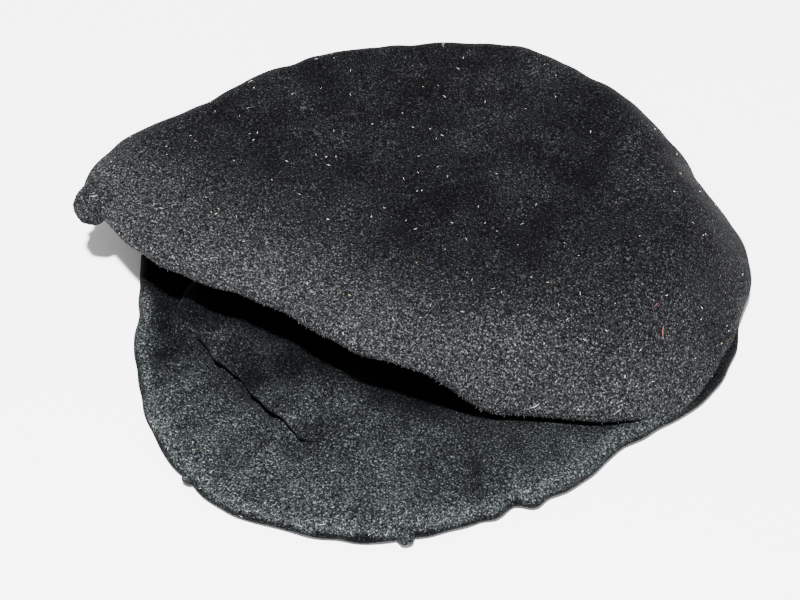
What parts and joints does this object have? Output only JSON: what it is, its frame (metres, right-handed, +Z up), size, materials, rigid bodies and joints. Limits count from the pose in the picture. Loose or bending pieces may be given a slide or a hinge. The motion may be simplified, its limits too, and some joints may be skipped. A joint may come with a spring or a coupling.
{
  "type": "rosin cake in a velvet pouch",
  "caption": "Round black velvet pouch with an open fold-over flap, holding a round rosin cake on a cloth backing.",
  "frame": {"origin": "middle of the round back leaf, on the plane that the pouch rests on", "axes": "+X along the mouth, -Y out of the mouth past the open flap, +Z up from the resting plane"},
  "size_m": [0.0939, 0.0915, 0.0158],
  "materials": {
    "black_velvet": "short dense pile",
    "lining_velvet": "short dense pile",
    "seam_allowance_cloth": "plain cloth",
    "wadding": "soft felted wadding",
    "thread": "twisted cotton thread",
    "backing_cloth": "felt",
    "rosin": "glassy amber resin"
  },
  "bodies": {
    "pocket": {"pocket_base_velvet": "black_velvet", "pocket_base_seam_allowance": "seam_allowance_cloth", "pocket_base_wadding": "wadding", "pocket_base_lining": "lining_velvet", "pocket_top_velvet": "black_velvet", "pocket_top_seam_allowance": "seam_allowance_cloth", "pocket_top_wadding": "wadding", "pocket_top_lining": "lining_velvet", "rim_seam_stitches": "thread", "side_edge_stitches": "thread", "mouth_hem_stitches": "thread", "left_corner_gather": "black_velvet", "left_corner_nub": "black_velvet"},
    "flap": {"flap_velvet": "black_velvet", "flap_seam_allowance": "seam_allowance_cloth", "flap_wadding": "wadding", "flap_lining": "lining_velvet", "flap_stitches": "thread"},
    "flap_end": {"flap_end_velvet": "black_velvet", "flap_end_seam_allowance": "seam_allowance_cloth", "flap_end_wadding": "wadding", "flap_end_lining": "lining_velvet", "flap_end_stitches": "thread", "flap_large_knot": "black_velvet", "flap_small_knot": "black_velvet"},
    "cake": {"rosin_cake": "rosin", "cake_backing": "backing_cloth"}
  },
  "joints": [
    {"name": "flap_fold", "type": "hinge", "parent": "pocket", "child": "flap", "pos_m": [0, -0.0242, 0.0028], "axis": [-1, 0, 0], "range_deg": [0, 90]},
    {"name": "flap_end_fold", "type": "hinge", "parent": "flap", "child": "flap_end", "pos_m": [0, -0.0378, 0.0028], "axis": [-1, 0, 0], "range_deg": [0, 81]},
    {"name": "cake_slide", "type": "slide", "parent": "pocket", "child": "cake", "axis": [0, -1, 0], "range_m": [0, 0.062]}
  ],
  "couplings": [
    {"joint": "flap_end_fold", "follows": "flap_fold", "ratio": 0.9}
  ]
}
